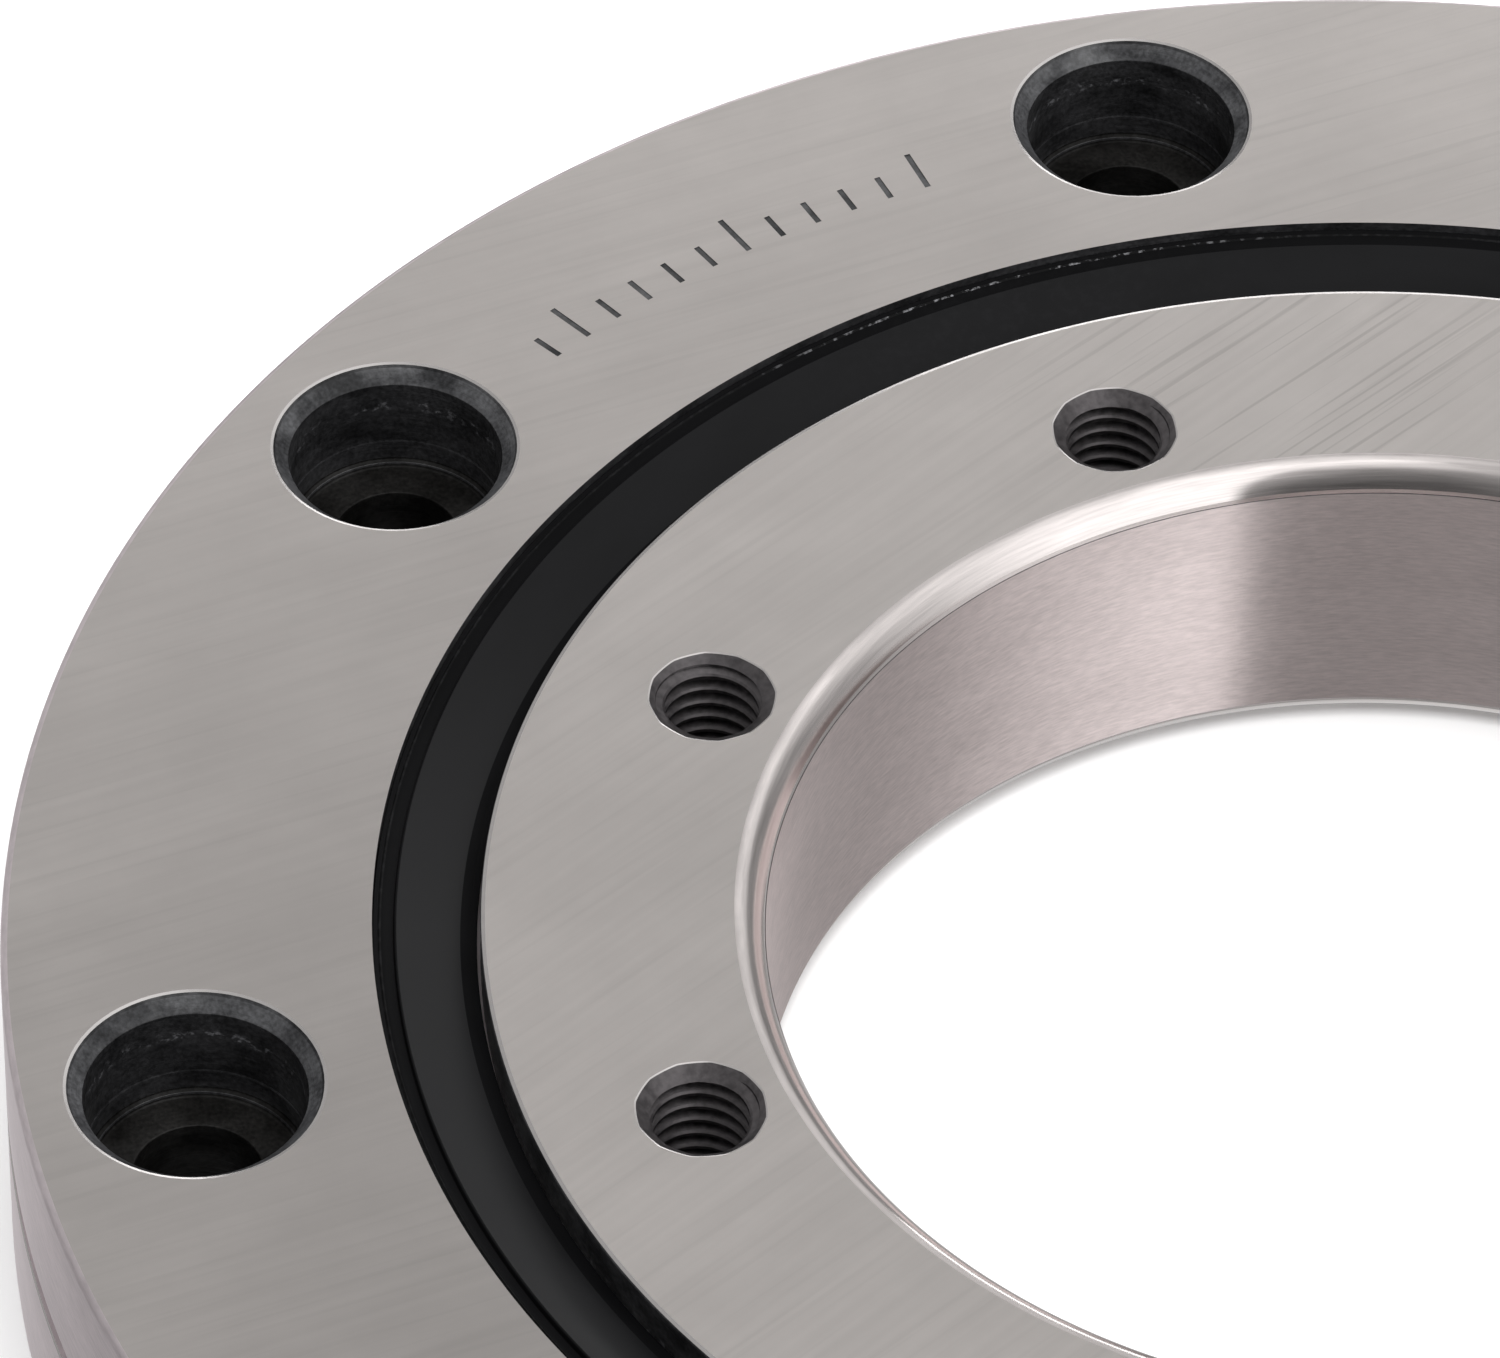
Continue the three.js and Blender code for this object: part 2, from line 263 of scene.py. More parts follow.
def backwards(run):
    """The same corners from last to first. Each side keeps its finish, now held by its other end."""
    return [(*run[i][:2], run[i - 1][2], *run[i][3:]) for i in reversed(range(len(run)))]


# ---------- materials ----------

class Finish:
    """A node material: a Principled shader with helpers that add texture nodes to it."""

    def __init__(self, name, color, roughness, metallic=1.0, **constants):
        self.material = bpy.data.materials.new(name)
        self.material.use_nodes = True
        self.nodes = self.material.node_tree.nodes
        self.links = self.material.node_tree.links
        self.shader = self.nodes["Principled BSDF"]
        self.shader.inputs["Base Color"].default_value = (*color, 1)
        self.shader.inputs["Roughness"].default_value = roughness
        self.shader.inputs["Metallic"].default_value = metallic
        for socket, value in constants.items():
            self.shader.inputs[socket.replace("_", " ")].default_value = value
        self.place = self.node("ShaderNodeTexCoord").outputs["Object"]
        self.height = None

    def node(self, kind, **inputs):
        made = self.nodes.new(kind)
        for socket, value in inputs.items():
            self.feed(made.inputs[socket.replace("_", " ")], value)
        return made

    def feed(self, socket, value):
        if isinstance(value, bpy.types.NodeSocket):
            self.links.new(value, socket)
        else:
            socket.default_value = value

    def math(self, operation, *values):
        made = self.nodes.new("ShaderNodeMath")
        made.operation = operation
        for socket, value in zip(made.inputs, values):
            self.feed(socket, value)
        return made.outputs[0]

    def stretched(self, scale, turn=0.0, shift=(0, 0, 0)):
        """Object coordinates turned about Z, shifted in metres, then scaled in cycles per millimetre."""
        turned = self.node("ShaderNodeMapping", Vector=self.place, Rotation=(0, 0, -turn), Location=shift)
        per_metre = [s / MM for s in scale]
        return self.node("ShaderNodeMapping", Vector=turned.outputs[0], Scale=per_metre).outputs[0]

    def noise(self, vector, detail=2.0, rough=0.5):
        made = self.node("ShaderNodeTexNoise", Vector=vector, Scale=1.0, Detail=detail, Roughness=rough)
        return made.outputs["Fac"]

    def distance(self, x=0, y=0):
        """Distance in millimetres from the vertical line at (x, y), also given in millimetres."""
        made = self.node("ShaderNodeVectorMath", Vector=self.stretched((1, 1, 0), 0, (-x * MM, -y * MM, 0)))
        made.operation = "LENGTH"
        return made.outputs["Value"]

    def along(self, axis):
        """Object coordinate in metres on the axis "X", "Y" or "Z"."""
        return self.node("ShaderNodeSeparateXYZ", Vector=self.place).outputs[axis]

    def between(self, value, low, high, out_low, out_high):
        """The value, clamped between low and high and mapped to the two outputs."""
        made = self.node("ShaderNodeMapRange", Value=value, From_Min=low, From_Max=high,
                         To_Min=out_low, To_Max=out_high)
        return made.outputs[0]

    def spread(self, noise, out_low, out_high):
        """A noise mapped to the two outputs from the range where nearly all of its values lie."""
        return self.between(noise, 0.3, 0.7, out_low, out_high)

    def shade(self, *factors):
        """Multiplies the base colour by the factors."""
        color = tuple(self.shader.inputs["Base Color"].default_value)
        product = factors[0]
        for factor in factors[1:]:
            product = self.math("MULTIPLY", product, factor)
        scaled = self.node("ShaderNodeVectorMath", Vector=color[:3])
        scaled.operation = "SCALE"
        self.feed(scaled.inputs["Scale"], product)
        self.links.new(scaled.outputs[0], self.shader.inputs["Base Color"])

    def roughen(self, value):
        """Sets the roughness. On steel, a texture's range has to lie wholly above 0.28 or wholly below 0.27:
        one that crosses the denoiser's threshold in between comes out as speckled dashes."""
        self.links.new(value, self.shader.inputs["Roughness"])

    def reflect(self, value):
        self.links.new(value, self.shader.inputs["Specular IOR Level"])

    def bump(self, height, depth_mm):
        """Adds relief on top of any that is there already."""
        made = self.node("ShaderNodeBump", Height=height, Distance=depth_mm * MM)
        if self.height is not None:
            self.links.new(self.height, made.inputs["Normal"])
        self.height = made.outputs[0]
        self.links.new(self.height, self.shader.inputs["Normal"])


STREAKS_OUTER = math.radians(12.6)
STREAKS_INNER = math.radians(33)
GLINT_RING_DEPTH = 1.9 * MM  # of the ring of painted glints in the counterbores
GLINT_PLACE = (-8, 43)  # millimetres, on the upper seal's bead, where the painted glints gather


def ground_face(name, streaks, dull_radius, bright_radius, gain, painted_shade_side, scratched, scratch_depth):
    """Flat-ground steel: fine straight streaks at an angle to X, soft clouding, and scratches that are deepest
    near the point scratched, in millimetres. The colour brightens by the gain from the dull radius to the
    bright one, and painted shade darkens it towards -Y, down to the factor given after the gain."""
    steel = Finish(name, (0.615, 0.578, 0.556), 0.3)
    fine = steel.noise(steel.stretched((0.05, 2.2, 1), streaks), 1, 0.6)
    medium = steel.noise(steel.stretched((0.05, 1.3, 1), streaks + 0.04), 2)
    cloud = steel.noise(steel.stretched((0.09, 0.13, 0.1), streaks), 2)
    mottle = steel.noise(steel.stretched((0.5, 0.6, 0.1), streaks), 3, 0.6)
    lines = steel.noise(steel.stretched((0.045, 2.6, 1), streaks - 0.03, (0.003, 0.001, 0)), 2, 0.5)
    depth = steel.between(steel.distance(*scratched), 5, 15, scratch_depth, 0.03)
    scratches = steel.math("MULTIPLY", steel.between(lines, 0.56, 0.64, 0, 1), depth)
    steel.shade(
        steel.spread(fine, 0.98, 1.02),
        steel.spread(medium, 0.985, 1.015),
        steel.spread(cloud, 0.96, 1.04),
        steel.spread(mottle, 0.985, 1.015),
        steel.between(steel.distance(), dull_radius, bright_radius, 1, gain),
        # painted shade: darker towards -Y
        steel.between(steel.along("Y"), -20 * MM, 42 * MM, painted_shade_side, 1),
        steel.math("SUBTRACT", 1.0, scratches),
    )
    steel.roughen(steel.math("ADD", steel.spread(fine, 0.295, 0.33), steel.spread(cloud, -0.005, 0.03)))
    return steel.material


def turned_steel(name, color, rough_low, rough_high, grain, dash, depth_mm):
    """Steel finished round the axis: dashes that run along the circumference. grain and dash are their
    frequencies along Z and along the circumference."""
    steel = Finish(name, color, rough_low, Anisotropic=1.0, Anisotropic_Rotation=0.25)
    dashes = steel.noise(steel.stretched((dash, dash, grain)), 3, 0.6)
    cloud = steel.noise(steel.stretched((0.12, 0.12, 0.3)), 2)
    steel.shade(steel.spread(dashes, 0.88, 1.1), steel.spread(cloud, 0.95, 1.05))
    steel.roughen(steel.spread(dashes, rough_low, rough_high))
    steel.bump(dashes, depth_mm)
    return steel.material


def black_oxide(name, color, roughness, specular):
    """Blackened, oily drilled surface with tool rings, grains, patches that are uneven in colour and in gloss,
    and a ring of painted glints below the upper mouth."""
    black = Finish(name, color, roughness, metallic=0.0)
    rings = black.noise(black.stretched((0.05, 0.05, 3.2)), 3, 0.7)
    grains = black.noise(black.stretched((5, 5, 5)), 2)
    patches = black.noise(black.stretched((0.35, 0.35, 0.6)), 3, 0.6)
    glint_noise = black.noise(black.stretched((2.6, 2.6, 3)), 3, 0.6)
    # Painted glints: a broken band of spots, up to five times as bright, round the walls below the mouth.
    apart = black.math("ABSOLUTE", black.math("SUBTRACT", black.along("Z"), TOP - GLINT_RING_DEPTH))
    ring = black.math("MULTIPLY", black.between(apart, 0.1 * MM, 0.35 * MM, 1, 0),
                      black.between(glint_noise, 0.55, 0.66, 0, 4))
    black.shade(
        black.between(grains, 0.35, 0.7, 0.7, 1.6),
        black.spread(patches, 0.45, 1.6),
        black.math("ADD", ring, 1.0),
    )
    black.roughen(black.spread(rings, roughness - 0.06, roughness + 0.12))
    black.reflect(black.between(patches, 0.4, 0.62, specular * 0.35, specular * 1.4))
    black.bump(rings, 0.03)
    black.bump(grains, 0.01)
    return black.material


def tapped_steel():
    """Tapped hole: darkened, slightly oily steel."""
    dark = Finish("tapped_steel", (0.108, 0.1, 0.103), 0.46, metallic=0.9)
    grains = dark.noise(dark.stretched((3, 3, 3)), 3)
    dark.shade(dark.spread(grains, 0.75, 1.3))
    dark.roughen(dark.spread(grains, 0.34, 0.5))
    dark.bump(grains, 0.008)
    return dark.material


def seal_rubber(name, color, roughness, specular, glint=0.2):
    """Moulded black nitrile rubber with faint flow marks round the ring. It is glossier towards -Y. Painted
    glints, spots up to 1 + glint times as bright, gather at one place."""
    rubber = Finish(name, color, roughness, metallic=0.0)
    flow = rubber.noise(rubber.stretched((0.2, 0.2, 1.5)), 2)
    # Painted glints: bright specks in the colour, strongest near one place.
    glint_specks = rubber.between(rubber.noise(rubber.stretched((2.4, 2.4, 2)), 3, 0.6), 0.5, 0.62, 0, 1)
    glint_falloff = rubber.between(rubber.distance(*GLINT_PLACE), 4, 14, glint, glint * 0.03)
    rubber.shade(
        rubber.spread(flow, 0.85, 1.2),
        rubber.math("ADD", rubber.math("MULTIPLY", glint_specks, glint_falloff), 1.0),
    )
    rubber.roughen(rubber.spread(flow, roughness - 0.06, roughness + 0.08))
    rubber.reflect(rubber.between(rubber.along("Y"), 8 * MM, 28 * MM, specular * 1.15, specular * 0.46))
    rubber.bump(flow, 0.004)
    return rubber.material


def polished_steel(name, color, low, high):
    """Smooth steel with a faint, even grain."""
    steel = Finish(name, color, low)
    grain = steel.noise(steel.stretched((2, 2, 2)), 2)
    steel.shade(steel.spread(grain, 0.97, 1.03))
    steel.roughen(steel.spread(grain, low, high))
    return steel.material


def spacer_plastic():
    """Moulded plastic with a faint grain."""
    plastic = Finish("spacer_plastic", (0.72, 0.66, 0.5), 0.5, metallic=0.0)
    grain = plastic.noise(plastic.stretched((3, 3, 3)), 3)
    plastic.shade(plastic.spread(grain, 0.94, 1.05))
    plastic.roughen(plastic.spread(grain, 0.42, 0.58))
    plastic.bump(grain, 0.006)
    return plastic.material


RIM_STEEL = turned_steel("rim_ground_steel", (0.8, 0.72, 0.74), 0.32, 0.38, 9, 0.9, 0.004)
BORE_STEEL = turned_steel("bore_honed_steel", (0.8, 0.7, 0.69), 0.28, 0.32, 8, 1.3, 0.007)
ROUND_STEEL = turned_steel("rounding_polished_steel", (0.74, 0.69, 0.675), 0.1, 0.13, 10, 0.3, 0.001)
RACE_STEEL = turned_steel("raceway_steel", (0.7, 0.69, 0.68), 0.1, 0.18, 12, 0.3, 0.001)
BLACK_OXIDE = black_oxide("black_oxide", (0.024, 0.024, 0.0255), 0.36, 0.75)
BLACK_CHAMFER = black_oxide("black_oxide_chamfer", (0.033, 0.0333, 0.0355), 0.4, 0.72)
# The black oxide made darker and duller for the counterbore floors and through holes: painted shade in the deep
# recess.
BLACK_SHADED_FLOOR = black_oxide("black_oxide_shaded_floor", (0.006, 0.0057, 0.0054), 0.45, 0.2)
THREAD_STEEL = tapped_steel()
OUTER_FACE = ground_face("outer_face_ground_steel", STREAKS_OUTER, 47, 58, 1.1, 0.8, (9, 47), 0.05)
INNER_FACE = ground_face("inner_face_ground_steel", STREAKS_INNER, 30, 38, 1.06, 1, (4, 34), 0.17)
RUBBER = seal_rubber("seal_rubber", (0.0055, 0.0055, 0.006), 0.42, 0.22)
# The bead's rubber carries strong painted glints.
RUBBER_BEAD = seal_rubber("seal_bead_rubber", (0.004, 0.004, 0.0042), 0.36, 0.15, 50)
# The same rubber made darker and duller for the seal's sunk and sloping parts: painted shade.
RUBBER_SHADED = seal_rubber("seal_shaded_rubber", (0.0035, 0.0035, 0.0038), 0.5, 0.06)
EDGE_STEEL = polished_steel("edge_polished_steel", (0.61, 0.585, 0.575), 0.21, 0.27)
LAPPED = polished_steel("lapped_steel", (0.74, 0.745, 0.75), 0.07, 0.14)
PLASTIC = spacer_plastic()

# Material indices, the same on both rings and on everything that cuts them.
FACE, RIM, BORE, EDGE, ROUND, RACE, BLACK, CHAMFER, SHADED_FLOOR, THREAD = range(10)
SHARED_FINISHES = [RIM_STEEL, BORE_STEEL, EDGE_STEEL, ROUND_STEEL, RACE_STEEL, BLACK_OXIDE, BLACK_CHAMFER,
                   BLACK_SHADED_FLOOR, THREAD_STEEL]
OUTER_FINISHES = [OUTER_FACE, *SHARED_FINISHES]
INNER_FINISHES = [INNER_FACE, *SHARED_FINISHES]


# ---------- outer ring ----------

def raceway_half(side, shoulder):
    """The upper half of a V raceway: relief groove, wall at 45 degrees and rounded shoulder. side is 1 for the
    raceway that opens inwards, in the outer ring, and -1 for the one in the inner ring."""
    apex = PITCH_RADIUS + side * WALL_DISTANCE * math.sqrt(2)
    mouth = abs(apex - shoulder)
    return [
        (apex - side * 0.1 * MM, MIDDLE + RACE_RELIEF, RACE),
        (apex - side * RACE_RELIEF, MIDDLE + RACE_RELIEF, RACE),
        (shoulder, MIDDLE + mouth, RIM, 0.1 * MM, EDGE),
    ]


def outer_ring_outline():
    """The ring's section: grooved rim, flat faces, the openings for the seals and the raceway between them."""
    outside = mirrored([
        (RIM_RADIUS - GROOVE_DEPTH, MIDDLE + GROOVE_HALF_WIDTH, RIM, 0.12 * MM, RIM),
        (RIM_RADIUS, MIDDLE + GROOVE_HALF_WIDTH, RIM, 0.08 * MM, EDGE),
        (RIM_RADIUS, TOP, FACE, 0.3 * MM, RIM),
    ])
    pocket = SEAL_BOTTOM - SEAL_POCKET
    undercut = SEAL_RIM_RADIUS + SEAL_GROOVE_GAP
    inside = mirrored([
        *raceway_half(1, OUTER_SHOULDER_RADIUS),
        (OUTER_SHOULDER_RADIUS, pocket, RIM),
        (undercut, pocket, RIM),
        (undercut, SEAL_BOTTOM + SEAL_GROOVE_HEIGHT, RIM),
        # Painted shade: the steel wall above the seal takes the black oxide finish.
        (SEAL_WALL_RADIUS, SEAL_BOTTOM + SEAL_GROOVE_HEIGHT, BLACK),
        (SEAL_WALL_RADIUS, TOP, FACE),
    ])
    return rounded(outside + backwards(inside))


def counterbore_cutter():
    """Through hole and counterbore: stepped foot, slightly tight zone above it, chamfer and burnished lip."""
    floor = TOP - COUNTERBORE_DEPTH
    foot = COUNTERBORE_RADIUS - 0.25 * MM
    tight = COUNTERBORE_RADIUS - 0.03 * MM
    mouth = COUNTERBORE_RADIUS + COUNTERBORE_CHAMFER
    return lathe("counterbores", rounded([
        (0, -OVERRUN, BLACK),
        (OUTER_HOLE_RADIUS + OVERRUN + 0.3 * MM, -OVERRUN, BLACK),
        # The darker floor finish on the hole's wall, the floor and its fillets is black oxide with painted
        # shade.
        (OUTER_HOLE_RADIUS, 0.3 * MM, SHADED_FLOOR),
        (OUTER_HOLE_RADIUS, floor, SHADED_FLOOR, 0.08 * MM, SHADED_FLOOR),
        (foot, floor, BLACK, 0.15 * MM, SHADED_FLOOR),
        (foot + 0.05 * MM, floor + 0.2 * MM, SHADED_FLOOR, 0.06 * MM, BLACK),
        (tight, floor + 0.3 * MM, BLACK, 0.1 * MM, SHADED_FLOOR),
        (tight, floor + TOOL_STEP_HEIGHT, BLACK),
        (COUNTERBORE_RADIUS, floor + TOOL_STEP_HEIGHT + 0.08 * MM, BLACK),
        (COUNTERBORE_RADIUS, TOP - COUNTERBORE_CHAMFER, CHAMFER, 0.06 * MM, BLACK),
        (mouth - 0.1 * MM, TOP - 0.15 * MM, BLACK),
        (mouth - 0.02 * MM, TOP - 0.04 * MM, EDGE),
        (mouth + 0.11 * MM, TOP, EDGE),
        (mouth + OVERRUN, TOP + OVERRUN, EDGE),
        (0, TOP + OVERRUN, BLACK),
    ]), HOLE_SEGMENTS, OUTER_FINISHES)


def outer_hole_centres():
    """Centres of the mounting holes in plan, from the openings that the record states."""
    for k in range(HOLE_COUNT):
        low, high = OPENINGS[f"counterbore_{k + 1}"]["box_m"]
        yield (Vector(low).xy + Vector(high).xy) / 2


def rod(radius, start, end, finish, segments=HOLE_SEGMENTS, materials=OUTER_FINISHES):
    """A plain round rod on Z."""
    return lathe("rod", [(0, start, finish), (radius, start, finish), (radius, end, finish), (0, end, finish)],
                 segments, materials)


def radial_rod(radius, end, finish, angle):
    """A rod from the pitch circle outwards, at mid-height."""
    made = placed(rod(radius, PITCH_RADIUS, end, finish),
                  Matrix.Translation((0, 0, MIDDLE)) @ Matrix.Rotation(math.pi / 2, 4, "Y"))
    return placed(made, Matrix.Rotation(angle, 4, "Z"))


def at_pin(piece):
    """A piece on Z, moved to the axis of the taper pin."""
    return placed(piece, Matrix.Rotation(PLUG_ANGLE, 4, "Z") @ Matrix.Translation((PIN_CIRCLE, 0, 0)))


def pin_hole():
    return at_pin(rod(PIN_RADIUS, -OVERRUN, TOP + OVERRUN, EDGE))


def index_marks():
    """Plain etched lines on the upper face, one longer in every five."""
    start = MARK_CIRCLE - MARK_INNER_REACH
    for k in range(MARK_COUNT):
        length = LONG_MARK_LENGTH if k % 5 == 0 else MARK_LENGTH
        corners = [(x, y, z) for x in (start, start + length) for y in (-MARK_HALF_WIDTH, MARK_HALF_WIDTH)
                   for z in (TOP - MARK_DEPTH, TOP + MARK_DEPTH)]
        faces = [(0, 1, 3, 2), (4, 6, 7, 5), (0, 4, 5, 1), (2, 3, 7, 6), (0, 2, 6, 4), (1, 5, 7, 3)]
        mark = new_object("mark", corners, faces, [BLACK] * len(faces), OUTER_FINISHES)
        yield placed(mark, Matrix.Rotation(MARK_ANGLE + k * MARK_STEP, 4, "Z"))


def outer_ring():
    ring = lathe("outer_ring_body", outer_ring_outline(), RING_SEGMENTS, OUTER_FINISHES)
    counterbore = counterbore_cutter()
    cutters = [copied(counterbore, Matrix.Translation((*centre, 0))) for centre in outer_hole_centres()]
    bpy.data.objects.remove(counterbore)
    cutters += index_marks()
    cutters.append(radial_rod(PLUG_RADIUS, RIM_RADIUS + OVERRUN, EDGE, PLUG_ANGLE))
    for quarter in (1, -1):
        angle = PLUG_ANGLE + quarter * math.pi / 2
        cutters.append(radial_rod(OIL_HOLE_RADIUS, RIM_RADIUS + OVERRUN, BLACK, angle))
    boolean(ring, joined(cutters), "DIFFERENCE")
    boolean(ring, pin_hole(), "DIFFERENCE")
    return finished(ring, "outer", ["outer_ring"])


def filling_plug():
    """The part of the ring's own section that lies in the plug hole, so its end carries on the raceway."""
    plug = lathe("filling_plug_body", outer_ring_outline(), RING_SEGMENTS, OUTER_FINISHES)
    boolean(plug, radial_rod(PLUG_RADIUS - HAIRLINE, RIM_RADIUS + OVERRUN, EDGE, PLUG_ANGLE), "INTERSECT")
    boolean(plug, pin_hole(), "DIFFERENCE")
    return finished(plug, "outer", ["filling_plug"])


def taper_pin():
    """The pin, its ends just below the faces. It tapers by 0.1 mm in radius."""
    taper = recess = 0.1 * MM
    radius = PIN_RADIUS - HAIRLINE
    pin = lathe("taper_pin_body", rounded([
        (0, recess, RIM),
        (radius, recess, RIM, 0.1 * MM, EDGE),
        (radius - taper, TOP - recess, RIM, 0.1 * MM, EDGE),
        (0, TOP - recess, RIM),
    ]), HOLE_SEGMENTS, OUTER_FINISHES)
    return finished(at_pin(pin), "outer", ["plug_taper_pin"])


# ---------- inner ring ----------

def bore_rounding():
    """From the bore to the face: a fine line, then an arc that starts at a slope to the bore."""
    points = []
    for k in range(BORE_ROUND_STEPS + 1):
        turn = BORE_ROUND_START + (math.pi / 2 - BORE_ROUND_START) * k / BORE_ROUND_STEPS
        radius = BORE_RADIUS + BORE_ROUND_WIDTH * (1 - math.cos(turn) / math.cos(BORE_ROUND_START))
        height = TOP - BORE_ROUND_HEIGHT * (1 - math.sin(turn)) / (1 - math.sin(BORE_ROUND_START))
        points.append((radius, height, ROUND if k < BORE_ROUND_STEPS else FACE))
    line = 0.03 * MM
    foot = points[0][1]
    return [(BORE_RADIUS, foot - line, THREAD), (BORE_RADIUS + line, foot, ROUND), *points[1:]]


def inner_ring_outline():
    """The ring's section: raceway, steps below the seals' lips, flat faces and the rounded bore."""
    step = SEAL_BOTTOM - SEAL_POCKET
    outside = mirrored([
        *raceway_half(-1, INNER_SHOULDER_RADIUS),
        (INNER_SHOULDER_RADIUS, step, RIM, 0.15 * MM, EDGE),
        (INNER_FACE_RADIUS, step, BLACK),
        (INNER_FACE_RADIUS, TOP - 0.12 * MM, BLACK),
        (INNER_FACE_RADIUS - 0.04 * MM, TOP - 0.045 * MM, EDGE),
        (INNER_FACE_RADIUS - 0.2 * MM, TOP, FACE),
    ])
    rounding = bore_rounding()
    inside = backwards(mirrored(rounding))
    bore_start = len(rounding) - 1
    inside[bore_start] = (*inside[bore_start][:2], BORE)
    return rounded(outside + inside)


def thread_radius(share):
    """Radius of the thread at a share of its pitch: root flat, flank rounded at both ends, crest flat."""
    from_root = abs(((share + 0.5) % 1) - 0.5)  # 0 at the root, 0.5 at the crest
    rise = min(max((from_root - THREAD_ROOT_SHARE) / THREAD_FLANK_SHARE, 0), 1)
    softened = rise * rise * (3 - 2 * rise)
    return THREAD_MAJOR_RADIUS - THREAD_DEPTH * (softened * 0.35 + rise * 0.65)


def thread_cutter():
    """A helical rod, closed by a fan at each end. Vertex rows follow the thread, and the row past the last
    one is the first row, one turn further on."""
    around, rows = THREAD_SEGMENTS, THREAD_ROWS
    start = -2 * MM
    turns = math.ceil((TOP - 2 * start) / THREAD_PITCH)
    last = around * turns
    vertices, faces = [], []
    for i in range(last + around + 1):
        angle = 2 * math.pi * i / around
        for k in range(rows if i <= last else 1):
            height = start + THREAD_PITCH * (i / around + k / rows)
            reach = thread_radius(k / rows)
            vertices.append((reach * math.cos(angle), reach * math.sin(angle), height))

    def vertex(i, k):
        if k == rows:
            i, k = i + around, 0
        return i * rows + k if i <= last else (last + 1) * rows + i - last - 1

    for i in range(last):
        for k in range(rows):
            faces.append((vertex(i, k), vertex(i + 1, k), vertex(i + 1, k + 1), vertex(i, k + 1)))
    low = len(vertices)
    high = low + 1
    vertices += [(0, 0, start - OVERRUN), (0, 0, start + THREAD_PITCH * (turns + 1) + OVERRUN)]
    bottom = [vertex(i, 0) for i in range(around + 1)] + [vertex(0, k) for k in range(rows - 1, 0, -1)]
    top = [vertex(last + i, 0) for i in range(around + 1)] + [vertex(last, k) for k in range(rows - 1, 0, -1)]
    faces += [(bottom[(k + 1) % len(bottom)], here, low) for k, here in enumerate(bottom)]
    faces += [(here, top[(k + 1) % len(top)], high) for k, here in enumerate(top)]
    return new_object("threads", vertices, faces, [THREAD] * len(faces), INNER_FINISHES)


def chatter(angle, height):
    """Wobble of a countersink cut by a chattering tool: twelve shallow lobes, alike at every height."""
    return 1 + 0.016 * (0.5 - abs(math.sin(6 * angle))) + 0.005 * math.cos(3 * angle + 1)


def mouth_cutter(end, side):
    """The countersink at one end of a threaded hole. side is 1 at the top and -1 at the bottom."""
    minor = THREAD_MAJOR_RADIUS - THREAD_DEPTH
    return lathe("mouth", [
        (0, end - side * THREAD_MOUTH_DEPTH, THREAD),
        (minor - 0.05 * MM, end - side * THREAD_MOUTH_DEPTH, THREAD),
        (THREAD_MOUTH_RADIUS, end - side * 0.025 * MM, EDGE),
        (THREAD_MOUTH_RADIUS + 0.07 * MM, end, EDGE),
        (THREAD_MOUTH_RADIUS + OVERRUN, end + side * OVERRUN, THREAD),
        (0, end + side * OVERRUN, THREAD),
    ][::side], HOLE_SEGMENTS, INNER_FINISHES, chatter)


def inner_ring():
    ring = lathe("inner_ring_body", inner_ring_outline(), RING_SEGMENTS, INNER_FINISHES)
    thread = thread_cutter()
    mouths = [mouth_cutter(TOP, 1), mouth_cutter(0, -1)]
    threads, countersinks = [], []
    for k in range(HOLE_COUNT):
        angle = INNER_RING_ANGLE + 2 * math.pi * k / HOLE_COUNT
        place = Matrix.Rotation(angle, 4, "Z") @ Matrix.Translation((INNER_HOLE_CIRCLE, 0, 0))
        threads.append(copied(thread, place @ Matrix.Rotation(THREAD_TURN * k, 4, "Z")))
        countersinks += [copied(mouth, place) for mouth in mouths]
    for spare in (thread, *mouths):
        bpy.data.objects.remove(spare)
    boolean(ring, joined(threads), "DIFFERENCE")
    boolean(ring, joined(countersinks), "DIFFERENCE")
    return finished(ring, "inner", ["inner_ring"])


# ---------- seals ----------

